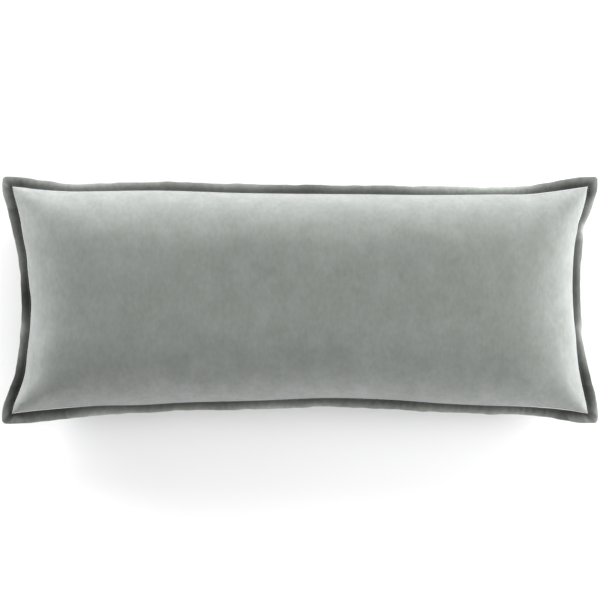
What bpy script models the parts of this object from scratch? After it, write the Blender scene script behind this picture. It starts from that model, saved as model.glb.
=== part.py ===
"""A lumbar pillow in velvet, lying on its back with its face up.

Two solids: the filled cushion, whose crowned face and back meet in one seam,
and the flange, a doubled border of the same cloth that stands out round that
seam. X runs along the pillow, Y across it, and Z up from the surface that it
rests on. The origin is under the middle of the pillow. All sizes are metres.
"""

import math

import bmesh
import bpy
from mathutils import Vector

# Driving sizes
LENGTH = 0.740  # flange corner to flange corner, along X
WIDTH = 0.307  # flange corner to flange corner, along Y
FLANGE_WIDTH = 0.014  # seam to fold
CORNER_INSET = 0.013  # of the seam's corners from the straight outline, both ways
FACE_RISE = 0.050  # from the seam to the top of the face
SEAM_HEIGHT = 0.049  # of the seam over the floor, at the middle of a side
CORNER_DROOP = 0.005  # how far the corners hang below that
BACK_FALL = 0.053  # the back's crown before the floor flattens it
FLOOR_EASE = 0.0005  # how softly the back meets the floor
SEAM_EDGE = 0.0015  # half the thickness of cloth at the seam
SEAM_GAP = 0.0005  # between the cushion's edge and the flange
CORNER_ROUND = 0.004  # the flange's corners, seen from above
FAN_REACH = 0.042  # how far from a corner the flange fans out

# How the crown falls away to the seam: (1 - |share| ** power) ** edge, so that
# a large power keeps it level for longer, and a small edge ends it more steeply
ALONG_POWER, ALONG_EDGE = 7.0, 0.55
ACROSS_POWER, ACROSS_EDGE = 3.9, 0.57
SEAM_LEAN = 0.035  # above 0, the crown leans in from the seam and isn't upright there
CORNER_FULLNESS = 1.0  # 0 leaves the corners as slack as they can be

# Faces of the cushion along and across, and how far they crowd to the seam
CELLS_ALONG, CELLS_ACROSS = 72, 28
CROWD_ALONG, CROWD_ACROSS = 0.35, 0.70
ON_EDGE = 0.9999  # share from which a point of a sheet is on its edge

# Each side runs from its low end (left or bottom) to its high end. A row has
# the share of the way along, how far the fold is drawn in there from the
# straight outline, and how far the seam is. The narrower the flange looks
# from above, the more it is turned down.
TOP_SIDE = (
    (0.00, 0.0000, 0.0130),
    (0.0215, 0.0007, 0.0146),
    (0.0475, 0.0046, 0.0170),
    (0.105, 0.0094, 0.0192),
    (0.25, 0.0070, 0.0184),
    (0.405, 0.0099, 0.0217),
    (0.605, 0.0117, 0.0232),
    (0.73, 0.0126, 0.0241),
    (0.845, 0.0136, 0.0231),
    (0.895, 0.0118, 0.0228),
    (0.94, 0.0063, 0.0194),
    (0.975, 0.0014, 0.0158),
    (1.00, 0.0000, 0.0130),
)
BOTTOM_SIDE = (
    (0.00, 0.0000, 0.0130),
    (0.0215, 0.0001, 0.0150),
    (0.045, 0.0019, 0.0170),
    (0.105, 0.0068, 0.0206),
    (0.15, 0.0102, 0.0229),
    (0.22, 0.0134, 0.0238),
    (0.30, 0.0166, 0.0270),
    (0.42, 0.0178, 0.0294),
    (0.55, 0.0213, 0.0328),
    (0.66, 0.0178, 0.0304),
    (0.745, 0.0144, 0.0260),
    (0.82, 0.0124, 0.0234),
    (0.885, 0.0110, 0.0220),
    (0.94, 0.0070, 0.0193),
    (0.975, 0.0014, 0.0162),
    (1.00, 0.0000, 0.0130),
)
LEFT_SIDE = (
    (0.00, 0.0000, 0.0130),
    (0.035, 0.0003, 0.0152),
    (0.085, 0.0060, 0.0208),
    (0.14, 0.0129, 0.0266),
    (0.19, 0.0172, 0.0300),
    (0.275, 0.0208, 0.0326),
    (0.36, 0.0230, 0.0354),
    (0.49, 0.0245, 0.0372),
    (0.56, 0.0240, 0.0350),
    (0.63, 0.0219, 0.0328),
    (0.70, 0.0192, 0.0312),
    (0.78, 0.0144, 0.0268),
    (0.86, 0.0096, 0.0230),
    (0.91, 0.0054, 0.0197),
    (0.957, 0.0005, 0.0158),
    (1.00, 0.0000, 0.0130),
)
RIGHT_SIDE = (
    (0.00, 0.0000, 0.0130),
    (0.038, 0.0001, 0.0148),
    (0.085, 0.0034, 0.0180),
    (0.135, 0.0075, 0.0213),
    (0.21, 0.0129, 0.0252),
    (0.29, 0.0172, 0.0277),
    (0.35, 0.0200, 0.0289),
    (0.42, 0.0213, 0.0311),
    (0.54, 0.0224, 0.0327),
    (0.64, 0.0213, 0.0322),
    (0.74, 0.0196, 0.0298),
    (0.81, 0.0171, 0.0263),
    (0.84, 0.0150, 0.0248),
    (0.88, 0.0097, 0.0209),
    (0.92, 0.0050, 0.0174),
    (0.958, 0.0008, 0.0150),
    (1.00, 0.0000, 0.0130),
)

# The flange's section from seam to fold: share of its width, half thickness
FLANGE_SECTION = ((0.00, 0.0015), (0.34, 0.0019), (0.74, 0.0023), (0.95, 0.0015))
TURNED_BY = 0.5  # of its width, where its section has turned from upright to square with it

# Waves of the seam's height: waves to a metre along and across, height, start
SEAM_WAVES = ((1.4, 0.0, 0.0018, 1.0), (3.3, -2.1, 0.0012, 0.0))

# Gathers along the seam: length of one, how far the cloth moves, its start
GATHERS = ((0.067, 0.0003, 0.4), (0.041, 0.00015, 2.1))
GATHER_REACH = 0.021  # how far a gather runs into the face
GATHER_SHIFT_LONG, GATHER_SHIFT_SHORT = 1.0, 2.0  # so that no two sides match

# Swells, where the filling lies fuller: the middle of one along and across,
# its reach along and across, its height
SWELLS = (
    (-0.286, 0.098, 0.055, 0.027, 0.0022),
    (-0.043, 0.093, 0.070, 0.030, 0.0030),
    (0.149, 0.095, 0.050, 0.028, 0.0022),
)
RELIEF_START = 0.16  # of the crown's rise, where gathers and swells are at their full height

HALF_LENGTH, HALF_WIDTH = LENGTH / 2, WIDTH / 2
SEAM_X, SEAM_Y = HALF_LENGTH - CORNER_INSET, HALF_WIDTH - CORNER_INSET


def clamp(value, low, high):
    return max(low, min(high, value))


def eased(share):
    """0 to 1 with level ends."""
    share = clamp(share, 0.0, 1.0)
    return share * share * (3 - 2 * share)


def along(rows, column, share):
    """A smooth curve through one column of a side's rows."""
    share = clamp(share, 0.0, 1.0)
    last = len(rows) - 1
    right = next(i for i in range(1, last + 1) if share <= rows[i][0])
    left = right - 1

    def slope(i):
        low, high = rows[max(i - 1, 0)], rows[min(i + 1, last)]
        return (high[column] - low[column]) / (high[0] - low[0])

    span = rows[right][0] - rows[left][0]
    t = (share - rows[left][0]) / span
    return (
        rows[left][column] * (1 + 2 * t) * (1 - t) ** 2
        + rows[right][column] * t * t * (3 - 2 * t)
        + slope(left) * span * t * (1 - t) ** 2
        - slope(right) * span * t * t * (1 - t)
    )


def inset(rows, place, half):
    """How far the fold and the seam are drawn in, and the flange's turn down."""
    share = (place + half) / (2 * half)
    fold, seam = along(rows, 1, share), along(rows, 2, share)
    turn = math.acos(min(1.0, (seam - fold) / FLANGE_WIDTH))
    return fold, seam, turn


def seam_height(x, y):
    """The seam droops to the corners and waves a little on its way round."""
    droop = eased(abs(x) / SEAM_X) ** 2 * eased(abs(y) / SEAM_Y) ** 2
    wave = sum(
        height * math.sin(2 * math.pi * (per_x * x + per_y * y) + start)
        for per_x, per_y, height, start in SEAM_WAVES
    )
    return SEAM_HEIGHT - CORNER_DROOP * droop + wave


def gather(run):
    """How far the cloth is pulled in or pushed out, this far round the seam."""
    return sum(
        height * math.sin(2 * math.pi * run / length + start)
        for length, height, start in GATHERS
    )


def seam_point(u, v):
    """The seam at a point of the square's edge, where |u| or |v| is 1."""
    x, y = u * SEAM_X, v * SEAM_Y
    if abs(v) == 1:
        rows = TOP_SIDE if v > 0 else BOTTOM_SIDE
        y = v * (HALF_WIDTH - inset(rows, x, SEAM_X)[1])
    elif abs(u) == 1:
        rows = RIGHT_SIDE if u > 0 else LEFT_SIDE
        x = u * (HALF_LENGTH - inset(rows, y, SEAM_Y)[1])
    return Vector((x, y, seam_height(x, y)))


def fold_point(u, v):
    """The flange's fold opposite seam_point(u, v)."""
    seam = seam_point(u, v)
    x, y = u * SEAM_X, v * SEAM_Y
    if abs(v) == 1:
        near = clamp(1 - (SEAM_X - abs(x)) / FAN_REACH, 0, 1) ** 2
        fold, _, turn = inset(TOP_SIDE if v > 0 else BOTTOM_SIDE, x, SEAM_X)
        x = math.copysign(abs(x) + near * CORNER_INSET, x)
        y = v * HALF_WIDTH
        shift = Vector((0, -v * fold, 0))
    else:
        near = clamp(1 - (SEAM_Y - abs(y)) / FAN_REACH, 0, 1) ** 2
        fold, _, turn = inset(RIGHT_SIDE if u > 0 else LEFT_SIDE, y, SEAM_Y)
        y = math.copysign(abs(y) + near * CORNER_INSET, y)
        x = u * HALF_LENGTH
        shift = Vector((-u * fold, 0, 0))
    inner = Vector(
        (
            clamp(x, CORNER_ROUND - HALF_LENGTH, HALF_LENGTH - CORNER_ROUND),
            clamp(y, CORNER_ROUND - HALF_WIDTH, HALF_WIDTH - CORNER_ROUND),
            0,
        )
    )
    corner = Vector((x, y, 0)) - inner
    outline = inner + corner.normalized() * CORNER_ROUND
    return outline + shift + Vector((0, 0, seam.z - FLANGE_WIDTH * math.sin(turn)))


def between_sides(u, v):
    """A point of the sheet that the four seams span, for u and v of -1 to 1."""
    s, t = (u + 1) / 2, (v + 1) / 2
    sides = (
        seam_point(u, -1.0) * (1 - t)
        + seam_point(u, 1.0) * t
        + seam_point(-1.0, v) * (1 - s)
        + seam_point(1.0, v) * s
    )
    corners = (
        seam_point(-1.0, -1.0) * (1 - s) * (1 - t)
        + seam_point(1.0, -1.0) * s * (1 - t)
        + seam_point(-1.0, 1.0) * (1 - s) * t
        + seam_point(1.0, 1.0) * s * t
    )
    point = sides - corners
    point.z = seam_height(point.x, point.y)
    return point


def falls_away(share, power, edge):
    """1 for a share of 0, and 0 for a share of -1 or 1."""
    foot = SEAM_LEAN**edge
    height = (1 - abs(share) ** power + SEAM_LEAN) ** edge
    return (height - foot) / ((1 + SEAM_LEAN) ** edge - foot)


def crown(u, v):
    """1 in the middle and 0 at the seam."""
    along_it = falls_away(u, ALONG_POWER, ALONG_EDGE)
    across_it = falls_away(v, ACROSS_POWER, ACROSS_EDGE)
    if min(along_it, across_it) <= 0:
        return 0.0
    lower = along_it**-CORNER_FULLNESS + across_it**-CORNER_FULLNESS - 1
    return lower ** (-1 / CORNER_FULLNESS)


def relief(u, v):
    """Gathers at the seam and the filling's swells, as a change in height."""
    x, y = u * SEAM_X, v * SEAM_Y
    from_long, from_short = SEAM_Y - abs(y), SEAM_X - abs(x)
    run_long = x + math.copysign(GATHER_SHIFT_LONG, v)
    run_short = y + math.copysign(GATHER_SHIFT_SHORT, u)
    change = 0.0
    for distance, run in ((from_long, run_long), (from_short, run_short)):
        reach = distance / GATHER_REACH
        change += gather(run) * reach * math.exp(1 - reach)
    for middle_x, middle_y, reach_x, reach_y, height in SWELLS:
        far = math.hypot((x - middle_x) / reach_x, (y - middle_y) / reach_y)
        change += height * math.exp(-(far**2))
    return change * min(1.0, crown(u, v) / RELIEF_START)


def on_floor(height):
    """Heights under the floor become level with it, along a soft bend."""
    if height > FLOOR_EASE:
        return height
    return max(0.0, height + FLOOR_EASE) ** 2 / (4 * FLOOR_EASE)


def face_point(u, v):
    point = between_sides(u, v)
    point.z += SEAM_EDGE + FACE_RISE * crown(u, v) + relief(u, v)
    return point


def back_point(u, v):
    point = between_sides(u, v)
    fall = SEAM_EDGE + BACK_FALL * crown(u, v) + relief(u, v)
    point.z = on_floor(point.z - fall)
    return point


def crowded(share, amount):
    """Moves a share of -1 to 1 towards its ends, so that faces crowd there."""
    return share * (1 - amount) + math.sin(share * math.pi / 2) * amount


def add_sheet(bm, place):
    """One side of the cushion: a grid, with each of its points put in place."""
    made = bmesh.ops.create_grid(bm, x_segments=CELLS_ALONG, y_segments=CELLS_ACROSS, size=1.0)
    for vert in made["verts"]:
        u, v = (math.copysign(1.0, c) if abs(c) > ON_EDGE else c for c in vert.co.xy)
        vert.co = place(crowded(u, CROWD_ALONG), crowded(v, CROWD_ACROSS))


def make_cushion():
    bm = bmesh.new()
    add_sheet(bm, face_point)
    add_sheet(bm, back_point)
    rims = [edge for edge in bm.edges if edge.is_boundary]
    bmesh.ops.bridge_loops(bm, edges=rims)
    bmesh.ops.recalc_face_normals(bm, faces=bm.faces)
    return object_from(bm, "cushion")


def stations():
    """The cushion's own points round the seam, as pairs of u and v."""
    us = [crowded(2 * i / CELLS_ALONG - 1, CROWD_ALONG) for i in range(CELLS_ALONG)]
    vs = [crowded(2 * j / CELLS_ACROSS - 1, CROWD_ACROSS) for j in range(CELLS_ACROSS)]
    bottom = [(u, -1.0) for u in us]
    right = [(1.0, v) for v in vs]
    top = [(-u, 1.0) for u in us]
    left = [(-1.0, -v) for v in vs]
    return bottom + right + top + left


def section_ring():
    """The flange's section as a closed row: out along its back, home over its top."""
    below = [(share, -half) for share, half in FLANGE_SECTION]
    above = [(share, half) for share, half in reversed(FLANGE_SECTION)]
    return below + [(1.0, 0.0)] + above


def make_flange():
    """A torus, with its rings placed as the flange's sections round the seam."""
    round_seam = stations()
    section = section_ring()
    bpy.ops.mesh.primitive_torus_add(major_segments=len(round_seam), minor_segments=len(section))
    torus = bpy.context.object
    bm = bmesh.new()
    bm.from_mesh(torus.data)
    bpy.data.objects.remove(torus)
    bm.verts.ensure_lookup_table()
    seams = [seam_point(u, v) for u, v in round_seam]
    folds = [fold_point(u, v) for u, v in round_seam]
    for i, (seam, fold) in enumerate(zip(seams, folds)):
        ahead = seams[(i + 1) % len(seams)] - seams[i - 1]
        outward = fold - seam
        across = outward.cross(ahead).normalized()
        start = seam + Vector((outward.x, outward.y, 0)).normalized() * SEAM_GAP
        for j, (share, rise) in enumerate(section):
            upright = Vector((0, 0, 1)).lerp(across, eased(share / TURNED_BY)).normalized()
            vert = bm.verts[i * len(section) + j]
            vert.co = start.lerp(fold, share) + upright * rise
    return object_from(bm, "flange")


def object_from(bm, name):
    mesh = bpy.data.meshes.new(name)
    bm.to_mesh(mesh)
    bm.free()
    mesh.shade_smooth()
    return bpy.data.objects.new(name, mesh)


def velvet(name, colour):
    material = bpy.data.materials.new(name)
    material.use_nodes = True
    shader = material.node_tree.nodes["Principled BSDF"]
    shader.inputs["Base Color"].default_value = (*colour, 1.0)
    shader.inputs["Roughness"].default_value = 0.9
    shader.inputs["Sheen Weight"].default_value = 0.6
    return material


def main():
    for old in list(bpy.data.objects):
        bpy.data.objects.remove(old)
    pillow = bpy.data.collections.new("lumbar_pillow")
    bpy.context.scene.collection.children.link(pillow)
    cushion, flange = make_cushion(), make_flange()
    cushion.data.materials.append(velvet("face_velvet", (0.24, 0.26, 0.24)))
    flange.data.materials.append(velvet("flange_velvet", (0.13, 0.14, 0.13)))
    for piece in (cushion, flange):
        pillow.objects.link(piece)


main()
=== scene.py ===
"""A lumbar pillow in grey velvet, dressed on its solids.

The cushion is a fine copy of its solid's form, and its cloth is tightened round
the filling so that it gathers at the seams. The flange is doubled cloth that
ripples and puckers beside the stitches that hold it. All sizes are metres.
"""

import math

import bpy
import numpy as np
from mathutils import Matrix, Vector


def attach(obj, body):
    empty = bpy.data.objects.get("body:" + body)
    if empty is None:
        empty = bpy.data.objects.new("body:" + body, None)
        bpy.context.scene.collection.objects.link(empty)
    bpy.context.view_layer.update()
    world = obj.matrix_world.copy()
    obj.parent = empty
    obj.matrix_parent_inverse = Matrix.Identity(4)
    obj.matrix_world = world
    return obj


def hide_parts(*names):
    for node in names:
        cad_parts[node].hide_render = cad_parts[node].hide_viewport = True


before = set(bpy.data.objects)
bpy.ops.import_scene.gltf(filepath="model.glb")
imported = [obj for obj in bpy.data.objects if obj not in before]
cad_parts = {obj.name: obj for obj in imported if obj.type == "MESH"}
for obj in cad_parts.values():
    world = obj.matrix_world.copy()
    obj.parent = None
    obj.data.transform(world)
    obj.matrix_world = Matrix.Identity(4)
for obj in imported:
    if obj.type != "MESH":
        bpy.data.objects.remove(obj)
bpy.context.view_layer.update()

# Driving sizes, as in the solids
LENGTH = 0.740  # flange corner to flange corner, along X
WIDTH = 0.307  # flange corner to flange corner, along Y
FLANGE_WIDTH = 0.014  # seam to fold
CORNER_INSET = 0.013  # of the seam's corners from the straight outline, both ways
FACE_RISE = 0.050  # from the seam to the top of the face
SEAM_HEIGHT = 0.049  # of the seam over the floor, at the middle of a side
CORNER_DROOP = 0.005  # how far the corners hang below that
BACK_FALL = 0.053  # the back's crown before the floor flattens it
FLOOR_EASE = 0.0005  # how softly the back meets the floor
SEAM_EDGE = 0.0015  # half the thickness of cloth at the seam
SEAM_GAP = 0.0005  # between the cushion's edge and the flange
CORNER_ROUND = 0.004  # the flange's corners, seen from above
FAN_REACH = 0.042  # how far from a corner the flange fans out
HALF_LENGTH, HALF_WIDTH = LENGTH / 2, WIDTH / 2
SEAM_X, SEAM_Y = HALF_LENGTH - CORNER_INSET, HALF_WIDTH - CORNER_INSET

# How the crown falls away to the seam: (1 - |share| ** power) ** edge, so that
# a large power keeps it level for longer, and a small edge ends it more steeply
ALONG_POWER, ALONG_EDGE = 7.0, 0.55
ACROSS_POWER, ACROSS_EDGE = 3.9, 0.57
SEAM_LEAN = 0.035  # above 0, the crown leans in from the seam and isn't upright there
CORNER_FULLNESS = 1.0  # 0 leaves the corners as slack as they can be
LEAST_CROWN = 1e-9  # of one side's share of the crown, so that it can be inverted

# Each side runs from its low end (left or bottom) to its high end. A row has
# the share of the way along, how far the fold is drawn in there from the
# straight outline, and how far the seam is.
TOP_SIDE = (
    (0.00, 0.0000, 0.0130),
    (0.0215, 0.0007, 0.0146),
    (0.0475, 0.0046, 0.0170),
    (0.105, 0.0094, 0.0192),
    (0.25, 0.0070, 0.0184),
    (0.405, 0.0099, 0.0217),
    (0.605, 0.0117, 0.0232),
    (0.73, 0.0126, 0.0241),
    (0.845, 0.0136, 0.0231),
    (0.895, 0.0118, 0.0228),
    (0.94, 0.0063, 0.0194),
    (0.975, 0.0014, 0.0158),
    (1.00, 0.0000, 0.0130),
)
BOTTOM_SIDE = (
    (0.00, 0.0000, 0.0130),
    (0.0215, 0.0001, 0.0150),
    (0.045, 0.0019, 0.0170),
    (0.105, 0.0068, 0.0206),
    (0.15, 0.0102, 0.0229),
    (0.22, 0.0134, 0.0238),
    (0.30, 0.0166, 0.0270),
    (0.42, 0.0178, 0.0294),
    (0.55, 0.0213, 0.0328),
    (0.66, 0.0178, 0.0304),
    (0.745, 0.0144, 0.0260),
    (0.82, 0.0124, 0.0234),
    (0.885, 0.0110, 0.0220),
    (0.94, 0.0070, 0.0193),
    (0.975, 0.0014, 0.0162),
    (1.00, 0.0000, 0.0130),
)
LEFT_SIDE = (
    (0.00, 0.0000, 0.0130),
    (0.035, 0.0003, 0.0152),
    (0.085, 0.0060, 0.0208),
    (0.14, 0.0129, 0.0266),
    (0.19, 0.0172, 0.0300),
    (0.275, 0.0208, 0.0326),
    (0.36, 0.0230, 0.0354),
    (0.49, 0.0245, 0.0372),
    (0.56, 0.0240, 0.0350),
    (0.63, 0.0219, 0.0328),
    (0.70, 0.0192, 0.0312),
    (0.78, 0.0144, 0.0268),
    (0.86, 0.0096, 0.0230),
    (0.91, 0.0054, 0.0197),
    (0.957, 0.0005, 0.0158),
    (1.00, 0.0000, 0.0130),
)
RIGHT_SIDE = (
    (0.00, 0.0000, 0.0130),
    (0.038, 0.0001, 0.0148),
    (0.085, 0.0034, 0.0180),
    (0.135, 0.0075, 0.0213),
    (0.21, 0.0129, 0.0252),
    (0.29, 0.0172, 0.0277),
    (0.35, 0.0200, 0.0289),
    (0.42, 0.0213, 0.0311),
    (0.54, 0.0224, 0.0327),
    (0.64, 0.0213, 0.0322),
    (0.74, 0.0196, 0.0298),
    (0.81, 0.0171, 0.0263),
    (0.84, 0.0150, 0.0248),
    (0.88, 0.0097, 0.0209),
    (0.92, 0.0050, 0.0174),
    (0.958, 0.0008, 0.0150),
    (1.00, 0.0000, 0.0130),
)

# Waves of the seam's height: waves to a metre along and across, height, start
SEAM_WAVES = ((1.4, 0.0, 0.0018, 1.0), (3.3, -2.1, 0.0012, 0.0))

# Gathers along the seam: length of one, how far the cloth moves, its start
GATHERS = ((0.067, 0.0003, 0.4), (0.041, 0.00015, 2.1))
GATHER_REACH = 0.021  # how far a gather runs into the face
GATHER_SHIFT_LONG, GATHER_SHIFT_SHORT = 1.0, 2.0  # so that no two sides match

# Swells, where the filling lies fuller: the middle of one along and across,
# its reach along and across, its height
SWELLS = (
    (-0.286, 0.098, 0.055, 0.027, 0.0022),
    (-0.043, 0.093, 0.070, 0.030, 0.0030),
    (0.149, 0.095, 0.050, 0.028, 0.0022),
)
RELIEF_START = 0.16  # share of the crown from which gathers and swells are full

# The cushion's cloth
CELLS_ALONG, CELLS_ACROSS = 156, 66
CROWD = 0.72  # how far the cells crowd to the seam
OVERHANG = 0.0005  # how far tight filling pushes the face out over the seam
OVERHANG_RISE = 0.006  # above the seam, where it pushes the most
OVERHANG_REACH = 0.02  # how far in from the seam it pushes
BACK_OVERHANG = 0.4  # of the face's, at the back
PAINTED_SHEEN_REACH = 0.030  # how far in from the seam the painted sheen reaches
ON_FLOOR = 1e-6  # height under which the cloth lies on the floor

# The flange
TURNED_BY = 0.5  # of its width, where its section has turned from upright to square with it
FLANGE_STEP = 0.0018  # between its rings
# Its section from seam to fold: share of its width, half thickness
FLANGE_SECTION = (
    (0.00, 0.0017),
    (0.05, 0.0017),
    (0.10, 0.0013),
    (0.17, 0.0012),
    (0.27, 0.0015),
    (0.42, 0.0019),
    (0.60, 0.0022),
    (0.76, 0.0022),
    (0.88, 0.0020),
    (0.95, 0.0015),
    (0.985, 0.0009),
)
# Stretches where it is puckered: side, share of the way along, how far either
# way, how deep beside the rest
PUCKERED = (
    ("top", 0.915, 0.045, 2.2),
    ("top", 0.06, 0.03, 1.0),
    ("bottom", 0.66, 0.03, 1.3),
    ("bottom", 0.90, 0.05, 1.8),
    ("left", 0.62, 0.06, 0.8),
    ("right", 0.80, 0.05, 1.2),
    ("right", 0.30, 0.06, 0.9),
)
PUCKER_PITCH, PUCKER_DEPTH = 0.0083, 0.00018
# How the puckers come closer and drift apart: in radians, times round, start
PUCKER_DRIFT = ((2.1, 31, 0), (1.3, 57, 1))
PUCKER_AT, PUCKER_REACH = 0.32, 0.26  # shares of the width: where deepest, how far either way
# The thickness varies too, by this share, once to every two puckers
THICKNESS_SWELL, THICKNESS_START = 0.10, 0.6
# Ripples of the fold, up and down: length, height, start
RIPPLES = ((0.083, 0.0006, 0.7), (0.047, 0.0004, 2.9), (0.029, 0.0002, 4.4))
RIPPLE_POWER = 1.6  # how they die out from the fold to the seam
WANDER_PITCH, WANDER = 0.021, 0.0002  # how the fold wavers, outwards and inwards
# Painted sheen (above 0) and painted shade (below) along the flange: side, share of the
# way along, how far either way, how much
FLANGE_PAINTED_LIGHT = (
    ("top", 0.12, 0.09, 0.6),
    ("top", 0.40, 0.04, 0.3),
    ("top", 0.51, 0.05, -0.3),
    ("top", 0.79, 0.09, 1.5),
    ("top", 0.87, 0.03, 0.9),
    ("bottom", 0.04, 0.03, 0.3),
    ("bottom", 0.55, 0.40, 0.55),
    ("bottom", 0.15, 0.05, 1.0),
    ("bottom", 0.45, 0.04, 0.6),
    ("bottom", 0.66, 0.04, -0.3),
    ("bottom", 0.86, 0.06, 0.5),
    ("left", 0.02, 0.03, 0.6),
    ("left", 0.15, 0.10, -0.85),
    ("left", 0.37, 0.03, 0.6),
    ("left", 0.52, 0.12, -1.0),
    ("left", 0.80, 0.06, -0.3),
    ("left", 0.95, 0.04, 0.7),
    ("right", 0.02, 0.03, 0.9),
    ("right", 0.16, 0.06, -0.6),
    ("right", 0.365, 0.035, 1.4),
    ("right", 0.55, 0.09, -0.5),
    ("right", 0.81, 0.035, 2.0),
    ("right", 0.91, 0.04, 0.5),
)
PAINTED_LIGHT_LEVEL, PAINTED_LIGHT_LEAST = 1.25, 0.15  # the painted light's level elsewhere, and its least
SIDES = ("bottom", "right", "top", "left")

# The stitches
STITCH_AT = 0.14  # share of the flange's width
STITCH_PITCH, STITCH_LENGTH, THREAD_RADIUS = 0.0032, 0.0025, 0.00028
STITCH_SUNK, STITCH_ARCHED = -1.2, 1.6  # how high one's ends and middle lie, in radii
STITCH_LEAN = 0.10  # radians, at most, to either side
STITCH_SEED = 4

# The velvet's pile: brushed patches, streaks and grain, each finer than the last
PATCH_SCALE, STREAK_SCALE, GRAIN_SCALE = 38.0, 210.0, 3000.0
PATCH_TURN, PATCH_SQUEEZE = (0, 0, 0.22), (1.0, 0.8, 1.0)
STREAK_SQUEEZE = (1.0, 0.6, 1.0)
PILE_ROUGHNESS = (0.72, 0.95)  # where it lies and where it stands
# Colours of the pile where it lies and where it stands, with how much its
# patches and its grain vary between the two
PANEL_PILE = {
    "Lying": (0.144, 0.156, 0.142, 1),
    "Standing": (0.205, 0.219, 0.206, 1),
    "Patchiness": 1.4,
    "Graininess": 0.75,
}
# The flange's pile is the panel's cloth, painted much darker as shade
FLANGE_PILE = {
    "Lying": (0.0295, 0.031, 0.029, 1),
    "Standing": (0.100, 0.106, 0.098, 1),
    "Patchiness": 0.8,
    "Graininess": 0.5,
}
UNCHANGED = (1, 1, 1, 1)
PAINTED_SHEEN_TONE = (1.47, 1.43, 1.50, 1)  # painted sheen: the panel's pile is paler by this at the seam
SEAM_SHADE_TONE, FOLD_SHEEN_TONE = 0.45, 1.65  # painted shade on the flange's pile beside the stitches, and painted sheen at the fold
SEAM_SHADE_UP_TO = 0.05  # share of the flange's width, from where the painted shade gives way to paler
PANEL_SHEEN, PANEL_SHEEN_TINT = 0.12, (0.97, 0.965, 1.0, 1)
FLANGE_SHEEN, FLANGE_SHEEN_TINT = 0.2, (0.95, 0.97, 0.95, 1)
SHEEN_ROUGHNESS = 0.5
THREAD_SCALE, THREAD_ROUGHNESS = 2600.0, (0.45, 0.65)
THREAD_DARK, THREAD_PALE = (0.016, 0.017, 0.016, 1), (0.035, 0.037, 0.035, 1)
FLOOR_SCALE = 3.0
FLOOR_DARK, FLOOR_PALE = (0.90, 0.90, 0.90, 1), (0.93, 0.93, 0.93, 1)

# The room
FLOOR_HALF = 3.0
SKY_STRENGTH = 0.7
# Soft lamps round the pillow: degrees round from its right end, watts
LAMPS = ((0, 55), (45, 55), (135, 82), (180, 4), (270, 6), (315, 23))
LAMP_UP = 12  # degrees above the floor
LAMP_SIZE, LAMP_DISTANCE = 1.2, 2.3
LAMP_AIM = (0, 0, 0.08)  # just over the middle of the pillow
VIEW_WIDTH = 0.743  # of the view, at the flange
CAMERA_HEIGHT = 2.7
SENSOR = 36  # mm


def eased(share):
    share = np.clip(share, 0.0, 1.0)
    return share * share * (3 - 2 * share)


def along(rows, column, share):
    """A smooth curve through one column of a side's rows."""
    table = np.array(rows, float)
    at, value = table[:, 0], table[:, column]
    share = np.clip(share, 0.0, 1.0)
    right = np.clip(np.searchsorted(at, share), 1, len(at) - 1)
    left = right - 1
    number = np.arange(len(at))
    before, after = np.clip(number - 1, 0, None), np.clip(number + 1, None, len(at) - 1)
    slope = (value[after] - value[before]) / (at[after] - at[before])
    span = at[right] - at[left]
    t = (share - at[left]) / span
    return (
        value[left] * (1 + 2 * t) * (1 - t) ** 2
        + value[right] * t * t * (3 - 2 * t)
        + slope[left] * span * t * (1 - t) ** 2
        - slope[right] * span * t * t * (1 - t)
    )


def inset(rows, place, half):
    """How far the fold and the seam are drawn in, and how far the flange between
    them is turned down, in radians."""
    share = (place + half) / (2 * half)
    fold, seam = along(rows, 1, share), along(rows, 2, share)
    return fold, seam, np.arccos(np.minimum(1.0, (seam - fold) / FLANGE_WIDTH))


def seam_height(x, y):
    droop = eased(np.abs(x) / SEAM_X) ** 2 * eased(np.abs(y) / SEAM_Y) ** 2
    wave = sum(
        height * np.sin(2 * np.pi * (per_x * x + per_y * y) + start)
        for per_x, per_y, height, start in SEAM_WAVES
    )
    return SEAM_HEIGHT - CORNER_DROOP * droop + wave


def long_seam(u, v):
    """The seam of the top side (v = 1) or the bottom side (v = -1), in plan."""
    x = u * SEAM_X
    rows = TOP_SIDE if v > 0 else BOTTOM_SIDE
    return np.stack([x, v * (HALF_WIDTH - inset(rows, x, SEAM_X)[1])], -1)


def short_seam(u, v):
    """The seam of the right side (u = 1) or the left side (u = -1), in plan."""
    y = v * SEAM_Y
    rows = RIGHT_SIDE if u > 0 else LEFT_SIDE
    return np.stack([u * (HALF_LENGTH - inset(rows, y, SEAM_Y)[1]), y], -1)


def between_sides(u, v):
    """The point of the sheet that the four seams span, for u and v of -1 to 1."""
    s, t = ((u + 1) / 2)[..., None], ((v + 1) / 2)[..., None]
    sides = (
        long_seam(u, -1) * (1 - t)
        + long_seam(u, 1) * t
        + short_seam(-1, v) * (1 - s)
        + short_seam(1, v) * s
    )
    corners = sum(
        np.array([i * SEAM_X, j * SEAM_Y]) * (s if i > 0 else 1 - s) * (t if j > 0 else 1 - t)
        for i in (-1, 1)
        for j in (-1, 1)
    )
    plan = sides - corners
    return np.concatenate([plan, seam_height(plan[..., 0], plan[..., 1])[..., None]], -1)


def crowded(share):
    """Moves shares of -1 to 1 towards their ends, so that cells crowd there."""
    return share * (1 - CROWD) + np.sin(share * np.pi / 2) * CROWD


def falls_away(share, power, edge):
    """1 for a share of 0, and next to 0 for a share of -1 or 1."""
    foot = SEAM_LEAN**edge
    height = np.maximum(1 - np.abs(share) ** power + SEAM_LEAN, SEAM_LEAN) ** edge
    return np.maximum((height - foot) / ((1 + SEAM_LEAN) ** edge - foot), LEAST_CROWN)


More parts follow.
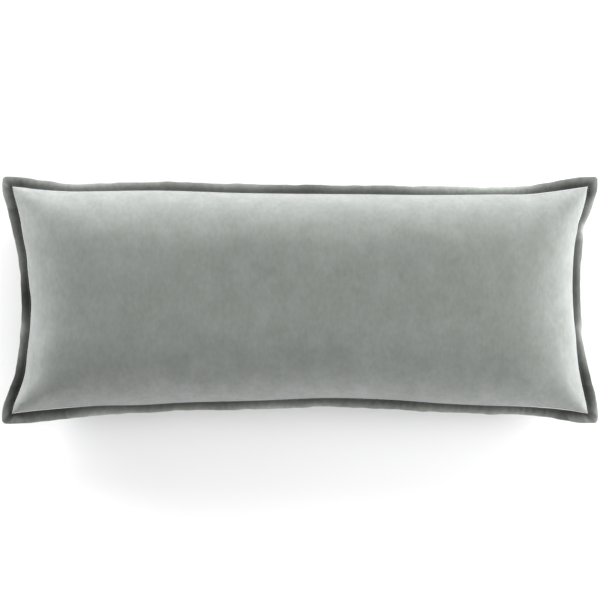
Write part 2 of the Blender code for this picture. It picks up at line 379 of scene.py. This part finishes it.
def crown(u, v):
    """1 in the middle and 0 at the seam."""
    along_it = falls_away(u, ALONG_POWER, ALONG_EDGE)
    across_it = falls_away(v, ACROSS_POWER, ACROSS_EDGE)
    lower = along_it**-CORNER_FULLNESS + across_it**-CORNER_FULLNESS - 1
    return lower ** (-1 / CORNER_FULLNESS)


def gather(run):
    return sum(
        height * np.sin(2 * np.pi * run / length + start) for length, height, start in GATHERS
    )


def relief(u, v):
    """The gathers at the seam and the filling's swells, as a change in height."""
    x, y = u * SEAM_X, v * SEAM_Y
    from_long, from_short = SEAM_Y - np.abs(y), SEAM_X - np.abs(x)
    run_long = x + np.copysign(GATHER_SHIFT_LONG, v)
    run_short = y + np.copysign(GATHER_SHIFT_SHORT, u)
    change = 0.0
    for distance, run in ((from_long, run_long), (from_short, run_short)):
        reach = distance / GATHER_REACH
        change = change + gather(run) * reach * np.exp(1 - reach)
    for middle_x, middle_y, reach_x, reach_y, height in SWELLS:
        far = np.hypot((x - middle_x) / reach_x, (y - middle_y) / reach_y)
        change = change + height * np.exp(-(far**2))
    return change * np.minimum(1.0, crown(u, v) / RELIEF_START)


def on_floor(height):
    """Heights under the floor become level with it, along a soft bend."""
    bent = np.maximum(0.0, height + FLOOR_EASE) ** 2 / (4 * FLOOR_EASE)
    return np.where(height > FLOOR_EASE, height, bent)


def push_over_seam(point, u, v, rise, most):
    """Pushes the cloth just off the seam outwards, as tight filling does."""
    hump = rise / OVERHANG_RISE * np.exp(1 - rise / OVERHANG_RISE) * most
    to_short = np.clip(1 - (SEAM_X - np.abs(u) * SEAM_X) / OVERHANG_REACH, 0, 1)
    to_long = np.clip(1 - (SEAM_Y - np.abs(v) * SEAM_Y) / OVERHANG_REACH, 0, 1)
    point[..., 0] += np.sign(u) * hump * to_short
    point[..., 1] += np.sign(v) * hump * to_long


def cushion_sheet(u, v, up):
    """The points of the face's cloth (up) or of the back's."""
    point = between_sides(u, v)
    rise = (FACE_RISE if up else BACK_FALL) * crown(u, v)
    lift = SEAM_EDGE + rise + relief(u, v)
    point[..., 2] = point[..., 2] + lift if up else on_floor(point[..., 2] - lift)
    push_over_seam(point, u, v, rise, OVERHANG if up else BACK_OVERHANG * OVERHANG)
    return point


def new_object(name, points, faces):
    mesh = bpy.data.meshes.new(name)
    mesh.from_pydata([tuple(p) for p in points], [], faces)
    mesh.update()
    mesh.shade_smooth()
    made = bpy.data.objects.new(name, mesh)
    bpy.context.scene.collection.objects.link(made)
    return made


def attribute(mesh, name, values):
    """Gives each of the mesh's points a number that its material reads."""
    mesh.attributes.new(name, "FLOAT", "POINT").data.foreach_set("value", values)


def settled(piece):
    """The piece as its modifiers leave it."""
    return piece.evaluated_get(bpy.context.evaluated_depsgraph_get())


def round_edge():
    """The grid's edge as pairs of steps along and across, anticlockwise from above."""
    last_i, last_j = CELLS_ALONG, CELLS_ACROSS
    bottom = [(i, 0) for i in range(last_i)]
    right = [(last_i, j) for j in range(last_j)]
    top = [(i, last_j) for i in range(last_i, 0, -1)]
    left = [(0, j) for j in range(last_j, 0, -1)]
    return bottom + right + top + left


def make_cushion():
    """The face and the back as grids of cells, joined by one row round the seam."""
    us = crowded(np.linspace(-1, 1, CELLS_ALONG + 1))
    vs = crowded(np.linspace(-1, 1, CELLS_ACROSS + 1))
    u, v = np.meshgrid(us, vs, indexing="ij")
    face, back = cushion_sheet(u, v, True), cushion_sheet(u, v, False)
    rows = CELLS_ACROSS + 1
    behind = (CELLS_ALONG + 1) * rows
    quads = []
    for i in range(CELLS_ALONG):
        for j in range(CELLS_ACROSS):
            a = i * rows + j
            quads.append((a, a + rows, a + rows + 1, a + 1))
            quads.append(tuple(behind + k for k in (a + 1, a + rows + 1, a + rows, a)))
    edge = [i * rows + j for i, j in round_edge()]
    for here, ahead in zip(edge, edge[1:] + edge[:1]):
        quads.append((here, behind + here, behind + ahead, ahead))
    points = np.concatenate([face.reshape(-1, 3), back.reshape(-1, 3)])
    cushion = new_object("cushion_velvet", points, quads)
    # Painted sheen: the colour grows paler towards the seam, on the face and on the back
    from_seam = np.minimum((1 - np.abs(u)) * SEAM_X, (1 - np.abs(v)) * SEAM_Y)
    painted_sheen = np.exp(-from_seam / PAINTED_SHEEN_REACH).ravel()
    attribute(cushion.data, "painted_sheen", np.tile(painted_sheen, 2))
    held = cushion.vertex_groups.new(name="held")
    flat = np.nonzero(points[:, 2] < ON_FLOOR)[0]
    held.add([int(k) for k in {*edge, *(behind + k for k in edge), *flat}], 1.0, "REPLACE")
    return cushion


def tighten(cushion, frames, pressure, grow, cap):
    """Lets the cloth find its own gathers round the filling, within a small cap."""
    rest = np.array([vert.co for vert in cushion.data.vertices])
    cloth = cushion.modifiers.new("Cloth", "CLOTH")
    settings = cloth.settings
    settings.quality = 6
    settings.mass = 0.35
    settings.air_damping = 3.0
    settings.tension_stiffness = settings.compression_stiffness = 20
    settings.shear_stiffness = 8
    settings.bending_stiffness = 0.6
    settings.vertex_group_mass = "held"
    settings.use_pressure = True
    settings.uniform_pressure_force = pressure
    settings.shrink_min = settings.shrink_max = -grow
    settings.effector_weights.gravity = 0
    cloth.collision_settings.use_collision = False
    scene = bpy.context.scene
    for step in range(1, frames + 1):
        scene.frame_set(step)
    moved = np.array([vert.co for vert in settled(cushion).data.vertices]) - rest
    cushion.modifiers.remove(cloth)
    scene.frame_set(1)
    far = np.linalg.norm(moved, axis=1, keepdims=True)
    moved *= cap / (cap + far)
    placed = rest + moved
    placed[:, 2] = np.maximum(placed[:, 2], 0)
    cushion.data.vertices.foreach_set("co", placed.ravel())
    cushion.data.update()


def subdivided(piece, levels):
    """A finer mesh of the same piece, with its sharp seams kept."""
    smooth = piece.modifiers.new("Subdivision", "SUBSURF")
    smooth.levels = smooth.render_levels = levels
    smooth.boundary_smooth = "PRESERVE_CORNERS"
    fine = bpy.data.meshes.new_from_object(settled(piece))
    piece.modifiers.remove(smooth)
    piece.data = fine
    fine.shade_smooth()


def rounded(x, y):
    """Rounds the outline's corners."""
    inner_x = np.clip(x, CORNER_ROUND - HALF_LENGTH, HALF_LENGTH - CORNER_ROUND)
    inner_y = np.clip(y, CORNER_ROUND - HALF_WIDTH, HALF_WIDTH - CORNER_ROUND)
    out_x, out_y = x - inner_x, y - inner_y
    size = CORNER_ROUND / np.hypot(out_x, out_y)
    return inner_x + out_x * size, inner_y + out_y * size


def fanned(place, half):
    """Towards a corner the flange fans out, so its fold runs on past the seam."""
    near = np.clip(1 - (half - np.abs(place)) / FAN_REACH, 0, 1) ** 2
    return place + np.sign(place) * near * CORNER_INSET


def long_fold(u, v):
    """The fold of the top side (v = 1) or the bottom side (v = -1), with its
    height above the seam."""
    x = u * SEAM_X
    drawn, _, turn = inset(TOP_SIDE if v > 0 else BOTTOM_SIDE, x, SEAM_X)
    fold_x, fold_y = rounded(fanned(x, SEAM_X), np.full_like(x, v * HALF_WIDTH))
    return np.column_stack([fold_x, fold_y - v * drawn, -FLANGE_WIDTH * np.sin(turn)])


def short_fold(u, v):
    """The fold of the right side (u = 1) or the left side (u = -1), with its
    height above the seam."""
    y = v * SEAM_Y
    drawn, _, turn = inset(RIGHT_SIDE if u > 0 else LEFT_SIDE, y, SEAM_Y)
    fold_x, fold_y = rounded(np.full_like(y, u * HALF_LENGTH), fanned(y, SEAM_Y))
    return np.column_stack([fold_x - u * drawn, fold_y, -FLANGE_WIDTH * np.sin(turn)])


def seam_loop(step):
    """The seam from its bottom left corner, anticlockwise: its points, its fold's
    points, each one's side and its share of the way along that side."""
    long_steps, short_steps = round(2 * SEAM_X / step), round(2 * SEAM_Y / step)
    seams, folds, sides, shares = [], [], [], []
    for number, side in enumerate(SIDES):
        steps = long_steps if side in ("bottom", "top") else short_steps
        at = np.arange(steps) / steps * 2 - 1
        at = -at if side in ("top", "left") else at
        if side in ("bottom", "top"):
            v = 1 if side == "top" else -1
            seam, fold = long_seam(at, v), long_fold(at, v)
        else:
            u = 1 if side == "right" else -1
            seam, fold = short_seam(u, at), short_fold(u, at)
        seams.append(seam)
        folds.append(fold)
        sides += [number] * steps
        shares.append((at + 1) / 2)
    seam = np.concatenate(seams)
    seam = np.column_stack([seam, seam_height(seam[:, 0], seam[:, 1])])
    fold = np.concatenate(folds)
    fold[:, 2] += seam[:, 2]
    return seam, fold, np.array(sides), np.concatenate(shares)


def unit(vectors):
    return vectors / np.linalg.norm(vectors, axis=-1, keepdims=True)


def stretches(rows, side, share):
    """Adds up the rows' soft stretches at each point round the seam."""
    total = np.zeros(len(side))
    for name, middle, half, amount in rows:
        here = side == SIDES.index(name)
        total += here * amount * np.exp(-(((share - middle) / half) ** 2))
    return total


def flange_frames(step):
    """For each ring of the flange: where it starts and ends, the upward direction
    at its fold, its distance round, how puckered it is and its painted sheen and shade."""
    seam, fold, side, share = seam_loop(step)
    ahead = np.roll(seam, -1, 0) - np.roll(seam, 1, 0)
    outward = fold - seam
    across = unit(np.cross(outward, ahead))
    start = seam + unit(outward * [1, 1, 0]) * SEAM_GAP
    run = np.concatenate([[0], np.cumsum(np.linalg.norm(np.diff(seam, axis=0), axis=1))])
    deep = stretches(PUCKERED, side, share) + 1
    # Painted sheen (paler) and painted shade (darker), stretch by stretch along the flange
    painted_light = np.maximum(stretches(FLANGE_PAINTED_LIGHT, side, share) + PAINTED_LIGHT_LEVEL, PAINTED_LIGHT_LEAST)
    return start, fold, across, run, deep, painted_light


def flange_surface(frames, share, half):
    """A line round the flange, share of the way out and half above its middle."""
    start, fold, across, run, deep, _ = frames
    total = run[-1]
    phase = 2 * np.pi * run / PUCKER_PITCH
    for amount, times, offset in PUCKER_DRIFT:
        phase = phase + amount * np.sin(2 * np.pi * run / total * times + offset)
    pucker = PUCKER_DEPTH * deep * np.sin(phase)
    ripple = sum(
        height * np.sin(2 * np.pi * round(total / length) * run / total + offset)
        for length, height, offset in RIPPLES
    )
    beside_seam = np.exp(-(((share - PUCKER_AT) / PUCKER_REACH) ** 2))
    up = eased(share / TURNED_BY)
    upright = unit(np.array([0, 0, 1]) * (1 - up) + across * up)
    swell = half * (1 + THICKNESS_SWELL * np.sin(phase / 2 + THICKNESS_START) * beside_seam)
    lift = ripple * share**RIPPLE_POWER + pucker * beside_seam * np.sign(half or 1)
    out = WANDER * share**2 * np.sin(2 * np.pi * round(total / WANDER_PITCH) * run / total)
    line = start + (fold - start) * (share + out[:, None] / FLANGE_WIDTH)
    return line + upright * (swell + lift)[:, None]


def make_flange():
    """Rings of the flange's section, one after another round the seam."""
    frames = flange_frames(FLANGE_STEP)
    below = [(share, -half) for share, half in FLANGE_SECTION]
    above = [(share, half) for share, half in reversed(FLANGE_SECTION)]
    section = below + [(1.0, 0.0)] + above
    lines = np.stack([flange_surface(frames, share, half) for share, half in section], 1)
    rings, size = lines.shape[:2]
    faces = []
    for i in range(rings):
        here, ahead = i * size, (i + 1) % rings * size
        for j in range(size):
            k = (j + 1) % size
            faces.append((here + j, ahead + j, ahead + k, here + k))
    flange = new_object("flange_velvet", lines.reshape(-1, 3), faces)
    # The flange's material reads these for its painted shade and sheen
    attribute(flange.data, "share", np.tile([share for share, _ in section], rings))
    attribute(flange.data, "painted_light", np.repeat(frames[-1], size))
    return flange


def node(tree, kind, place=(0, 0), values=None, **settings):
    """Adds a node. values gives its inputs, each a number or a link's start."""
    made = tree.nodes.new(kind)
    made.location = place
    for name, value in settings.items():
        setattr(made, name, value)
    for name, value in (values or {}).items():
        if isinstance(value, bpy.types.NodeSocket):
            tree.links.new(value, made.inputs[name])
        else:
            made.inputs[name].default_value = value
    return made


def socket(tree, name, kind, value=None, in_out="INPUT"):
    """Adds an input or an output to a group."""
    made = tree.interface.new_socket(name, in_out=in_out, socket_type="NodeSocket" + kind)
    if value is not None:
        made.default_value = value


def calculate(tree, place, operation, first, second, **settings):
    values = {0: first, 1: second}
    made = node(tree, "ShaderNodeMath", place, values, operation=operation, **settings)
    return made.outputs[0]


def vector(tree, place, **parts):
    """A vector of the given parts, x and z, with 0 for the others."""
    values = {name.upper(): value for name, value in parts.items()}
    return node(tree, "ShaderNodeCombineXYZ", place, values).outputs[0]


def stitch_tree():
    """Lays stitches end to end along a line that carries its own way up."""
    tree = bpy.data.node_groups.new("stitch_row", "GeometryNodeTree")
    socket(tree, "Line", "Geometry")
    socket(tree, "Pitch", "Float", STITCH_PITCH)
    socket(tree, "Stitch Length", "Float", STITCH_LENGTH)
    socket(tree, "Thread Radius", "Float", THREAD_RADIUS)
    socket(tree, "Lean", "Float", STITCH_LEAN)
    socket(tree, "Seed", "Int", STITCH_SEED)
    socket(tree, "Thread", "Material")
    socket(tree, "Stitches", "Geometry", in_out="OUTPUT")
    given = node(tree, "NodeGroupInput", (-1400, 0)).outputs

    # One stitch is an arch of thread, from under the cloth's surface and back
    length, radius = given["Stitch Length"], given["Thread Radius"]
    half = calculate(tree, (-1200, -300), "MULTIPLY", length, 0.5)
    back = calculate(tree, (-1200, -450), "MULTIPLY", length, -0.5)
    low = calculate(tree, (-1200, -600), "MULTIPLY", radius, STITCH_SUNK)
    high = calculate(tree, (-1200, -750), "MULTIPLY", radius, STITCH_ARCHED)
    ends = {
        "Resolution": 4,
        "Start": vector(tree, (-1000, -300), x=back, z=low),
        "Middle": vector(tree, (-1000, -450), z=high),
        "End": vector(tree, (-1000, -600), x=half, z=low),
    }
    arch = node(tree, "GeometryNodeCurveQuadraticBezier", (-800, -400), ends)
    values = {"Resolution": 6, "Radius": radius}
    ring = node(tree, "GeometryNodeCurvePrimitiveCircle", (-800, -600), values)
    values = {"Curve": arch.outputs[0], "Profile Curve": ring.outputs[0], "Fill Caps": True}
    stitch = node(tree, "GeometryNodeCurveToMesh", (-600, -400), values)

    # They follow the line, lean a little to either side and are made real
    line = node(tree, "GeometryNodeMeshToCurve", (-1000, 200), {"Mesh": given["Line"]})
    values = {"Curve": line.outputs[0], "Length": given["Pitch"]}
    spaced = node(tree, "GeometryNodeResampleCurve", (-800, 200), values, mode="LENGTH")
    tangent = node(tree, "GeometryNodeInputTangent", (-800, 0))
    upward = node(
        tree,
        "GeometryNodeInputNamedAttribute",
        (-800, -120),
        {"Name": "upward"},
        data_type="FLOAT_VECTOR",
    )
    turned = node(
        tree,
        "FunctionNodeAxesToRotation",
        (-600, 0),
        {"Primary Axis": tangent.outputs[0], "Secondary Axis": upward.outputs[0]},
        primary_axis="X",
        secondary_axis="Z",
    )
    minus = calculate(tree, (-800, -240), "MULTIPLY", given["Lean"], -1.0)
    values = {2: minus, 3: given["Lean"], "Seed": given["Seed"]}
    lean = node(tree, "FunctionNodeRandomValue", (-600, -200), values, data_type="FLOAT")
    values = {0: turned.outputs[0], 1: vector(tree, (-400, -200), z=lean.outputs[1])}
    rotated = node(
        tree, "FunctionNodeRotateRotation", (-300, 0), values, rotation_space="LOCAL"
    )
    values = {
        "Points": spaced.outputs[0],
        "Instance": stitch.outputs[0],
        "Rotation": rotated.outputs[0],
    }
    laid = node(tree, "GeometryNodeInstanceOnPoints", (-200, 200), values)
    real = node(tree, "GeometryNodeRealizeInstances", (0, 200), {"Geometry": laid.outputs[0]})
    values = {"Geometry": real.outputs[0], "Material": given["Thread"]}
    finished = node(tree, "GeometryNodeSetMaterial", (200, 200), values)
    node(tree, "NodeGroupOutput", (400, 200), {"Stitches": finished.outputs[0]})
    return tree


def make_stitches(thread):
    """One row over the flange and one under it, close beside the seam."""
    frames = flange_frames(FLANGE_STEP)
    shares, halves = zip(*FLANGE_SECTION)
    half = float(np.interp(STITCH_AT, shares, halves))
    upper = flange_surface(frames, STITCH_AT, half)
    lower = flange_surface(frames, STITCH_AT, -half)
    count = len(upper)
    edges = [
        (row * count + i, row * count + (i + 1) % count) for row in (0, 1) for i in range(count)
    ]
    mesh = bpy.data.meshes.new("stitch_lines")
    mesh.from_pydata([tuple(p) for p in np.concatenate([upper, lower])], edges, [])
    up = unit(upper - lower)
    upward = mesh.attributes.new("upward", "FLOAT_VECTOR", "POINT")
    upward.data.foreach_set("vector", np.concatenate([up, -up]).ravel())
    stitches = bpy.data.objects.new("seam_stitches", mesh)
    bpy.context.scene.collection.objects.link(stitches)
    rows = stitches.modifiers.new("Rows", "NODES")
    rows.node_group = stitch_tree()
    sockets = {
        item.name: item.identifier
        for item in rows.node_group.interface.items_tree
        if item.in_out == "INPUT"
    }
    rows[sockets["Thread"]] = thread
    stitches.data = bpy.data.meshes.new_from_object(settled(stitches))
    stitches.modifiers.clear()
    stitches.data.shade_smooth()
    return stitches


def noise(tree, place, at, scale, detail=2.0, roughness=0.5):
    values = {"Vector": at, "Scale": scale, "Detail": detail, "Roughness": roughness}
    return node(tree, "ShaderNodeTexNoise", place, values).outputs[0]


def swing(tree, place, value, amount):
    """How far a noise is from its middle, times an amount."""
    level = calculate(tree, place, "SUBTRACT", value, 0.5)
    return calculate(tree, (place[0] + 150, place[1]), "MULTIPLY", level, amount)


def blended(tree, place, share, first, second):
    """A colour between two others."""
    values = {0: share, 6: first, 7: second}
    return node(tree, "ShaderNodeMix", place, values, data_type="RGBA").outputs[2]


def ranged(tree, place, value, low, high, start=0.0, **settings):
    """Turns a value of start to 1 into one of low to high."""
    values = {"Value": value, "From Min": start, "To Min": low, "To Max": high}
    return node(tree, "ShaderNodeMapRange", place, values, **settings).outputs[0]


def own_place(tree, place):
    """Each point's place in its own object."""
    return node(tree, "ShaderNodeTexCoord", place).outputs["Object"]


def point_value(tree, place, name):
    """The number that attribute() gave to each point."""
    return node(tree, "ShaderNodeAttribute", place, attribute_name=name).outputs["Fac"]


def pile_group():
    """Short cut pile: brushed patches, fine grain and how high the pile stands."""
    tree = bpy.data.node_groups.new("pile", "ShaderNodeTree")
    socket(tree, "Lying", "Color", (0.1, 0.1, 0.1, 1))
    socket(tree, "Standing", "Color", (0.3, 0.3, 0.3, 1))
    socket(tree, "Patch Scale", "Float", PATCH_SCALE)
    socket(tree, "Grain Scale", "Float", GRAIN_SCALE)
    socket(tree, "Patchiness", "Float", 0.5)
    socket(tree, "Graininess", "Float", 0.25)
    socket(tree, "Colour", "Color", in_out="OUTPUT")
    socket(tree, "Roughness", "Float", in_out="OUTPUT")
    socket(tree, "Height", "Float", in_out="OUTPUT")
    given = node(tree, "NodeGroupInput", (-1200, 0)).outputs
    place = own_place(tree, (-1200, -300))
    values = {"Vector": place, "Rotation": PATCH_TURN, "Scale": PATCH_SQUEEZE}
    brushed = node(tree, "ShaderNodeMapping", (-1000, -300), values).outputs[0]
    scale = given["Patch Scale"]
    patches = noise(tree, (-800, 0), brushed, scale, detail=6.0, roughness=0.68)
    values = {"Vector": place, "Scale": STREAK_SQUEEZE}
    streaked = node(tree, "ShaderNodeMapping", (-1000, -600), values).outputs[0]
    streaks = noise(tree, (-800, -300), streaked, STREAK_SCALE)
    grain = noise(tree, (-800, -600), place, given["Grain Scale"], detail=1.0)
    soft = swing(tree, (-600, 0), patches, given["Patchiness"])
    thin = swing(tree, (-600, -300), streaks, given["Graininess"])
    fine = swing(tree, (-600, -600), grain, given["Graininess"])
    both = calculate(tree, (-300, -150), "ADD", soft, thin)
    all_of = calculate(tree, (-300, -400), "ADD", both, fine)
    stands = calculate(tree, (-150, -300), "ADD", all_of, 0.5, use_clamp=True)
    results = {
        "Colour": blended(tree, (0, 0), stands, given["Lying"], given["Standing"]),
        "Roughness": ranged(tree, (0, -200), stands, *PILE_ROUGHNESS),
        "Height": fine,
    }
    node(tree, "NodeGroupOutput", (200, 0), results)
    return tree


def new_material(name):
    material = bpy.data.materials.new(name)
    material.use_nodes = True
    return material, material.node_tree, material.node_tree.nodes["Principled BSDF"]


def roughened(tree, shader, roughness, height, strength, distance):
    """Gives a shader its roughness and its bumps."""
    tree.links.new(roughness, shader.inputs["Roughness"])
    values = {"Height": height, "Strength": strength, "Distance": distance}
    bump = node(tree, "ShaderNodeBump", (-300, -400), values)
    tree.links.new(bump.outputs[0], shader.inputs["Normal"])


def velvet(name, pile, look, sheen, sheen_tint):
    """A material of the pile, with its colour left to be toned and linked."""
    material, tree, shader = new_material(name)
    made = node(tree, "ShaderNodeGroup", (-700, 0), look, node_tree=pile).outputs
    rough, height = made["Roughness"], made["Height"]
    roughened(tree, shader, rough, height, strength=0.25, distance=0.0003)
    shader.inputs["Sheen Weight"].default_value = sheen
    shader.inputs["Sheen Roughness"].default_value = SHEEN_ROUGHNESS
    shader.inputs["Sheen Tint"].default_value = sheen_tint
    shader.inputs["Specular IOR Level"].default_value = 0.0
    return material, tree, shader, made["Colour"]


def panel_velvet(pile):
    """The pile, made paler near the seam by painted sheen."""
    material, tree, shader, colour = velvet(
        "panel_velvet", pile, PANEL_PILE, PANEL_SHEEN, PANEL_SHEEN_TINT
    )
    # Painted sheen: paler towards the seam
    painted_sheen = point_value(tree, (-900, 300), "painted_sheen")
    values = {0: colour, 1: blended(tree, (-600, 300), painted_sheen, UNCHANGED, PAINTED_SHEEN_TONE)}
    toned = node(tree, "ShaderNodeVectorMath", (-300, 200), values, operation="MULTIPLY")
    tree.links.new(toned.outputs[0], shader.inputs["Base Color"])
    return material


def flange_velvet(pile):
    """The same pile painted darker as shade, with painted shade beside the stitches, painted
    sheen at the fold and painted sheen and shade along the way round.
    """
    material, tree, shader, colour = velvet(
        "flange_velvet", pile, FLANGE_PILE, FLANGE_SHEEN, FLANGE_SHEEN_TINT
    )
    # Painted shade beside the stitches and painted sheen at the fold, by the share of the width
    shade_and_sheen = ranged(
        tree,
        (-700, 300),
        point_value(tree, (-900, 300), "share"),
        SEAM_SHADE_TONE,
        FOLD_SHEEN_TONE,
        SEAM_SHADE_UP_TO,
        interpolation_type="SMOOTHSTEP",
    )
    # Painted sheen and shade along the flange, stretch by stretch
    painted_light = point_value(tree, (-900, 500), "painted_light")
    values = {0: colour, "Scale": calculate(tree, (-500, 400), "MULTIPLY", shade_and_sheen, painted_light)}
    toned = node(tree, "ShaderNodeVectorMath", (-300, 200), values, operation="SCALE")
    tree.links.new(toned.outputs[0], shader.inputs["Base Color"])
    return material


def thread_finish():
    """Twisted polyester thread, a shade darker than the pile."""
    material, tree, shader = new_material("stitch_thread")
    twist = noise(tree, (-700, 0), own_place(tree, (-900, 0)), THREAD_SCALE, detail=1.0)
    colour = blended(tree, (-400, 0), twist, THREAD_DARK, THREAD_PALE)
    tree.links.new(colour, shader.inputs["Base Color"])
    rough = ranged(tree, (-400, -200), twist, *THREAD_ROUGHNESS)
    roughened(tree, shader, rough, twist, strength=0.4, distance=0.0001)
    return material


def make_floor():
    far = FLOOR_HALF
    corners = [(-far, -far, 0), (far, -far, 0), (far, far, 0), (-far, far, 0)]
    floor = new_object("floor", corners, [(0, 1, 2, 3)])
    material, tree, shader = new_material("floor_paint")
    cloud = noise(tree, (-700, 0), own_place(tree, (-900, 0)), FLOOR_SCALE)
    colour = blended(tree, (-400, 0), cloud, FLOOR_DARK, FLOOR_PALE)
    tree.links.new(colour, shader.inputs["Base Color"])
    shader.inputs["Roughness"].default_value = 0.9
    shader.inputs["Specular IOR Level"].default_value = 0.0
    floor.data.materials.append(material)


def light_scene():
    """Bright lamps low round the pillow, under a soft white sky."""
    scene = bpy.context.scene
    world = bpy.data.worlds.new("studio")
    scene.world = world
    world.use_nodes = True
    sky = world.node_tree.nodes["Background"]
    sky.inputs["Color"].default_value = (1, 1, 1, 1)
    sky.inputs["Strength"].default_value = SKY_STRENGTH
    up = math.radians(LAMP_UP)
    level = math.cos(up)
    for degrees, power in LAMPS:
        light = bpy.data.lights.new("lamp_%d" % degrees, "AREA")
        light.shape = "DISK"
        light.size = LAMP_SIZE
        light.energy = power
        lamp = bpy.data.objects.new(light.name, light)
        around = math.radians(degrees)
        toward = Vector((math.cos(around) * level, math.sin(around) * level, math.sin(up)))
        lamp.location = toward * LAMP_DISTANCE
        lamp.rotation_mode = "QUATERNION"
        aim = Vector(LAMP_AIM) - lamp.location
        lamp.rotation_quaternion = aim.to_track_quat("-Z", "Y")
        scene.collection.objects.link(lamp)
    scene.view_settings.view_transform = "Standard"


def add_camera():
    """A camera straight above the middle, square with the pillow."""
    camera = bpy.data.cameras.new("camera")
    camera.sensor_width = SENSOR
    camera.lens = SENSOR * (CAMERA_HEIGHT - SEAM_HEIGHT) / VIEW_WIDTH
    made = bpy.data.objects.new("camera", camera)
    made.location = (0, 0, CAMERA_HEIGHT)
    bpy.context.scene.collection.objects.link(made)
    bpy.context.scene.camera = made


def main():
    cushion = make_cushion()
    tighten(cushion, frames=20, pressure=3.0, grow=0.010, cap=0.0013)
    subdivided(cushion, 1)
    flange = make_flange()
    pile = pile_group()
    cushion.data.materials.append(panel_velvet(pile))
    flange.data.materials.append(flange_velvet(pile))
    stitches = make_stitches(thread_finish())
    for piece in (cushion, flange, stitches):
        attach(piece, "root")
    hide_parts("cushion")
    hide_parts("flange")
    make_floor()
    light_scene()
    add_camera()


main()
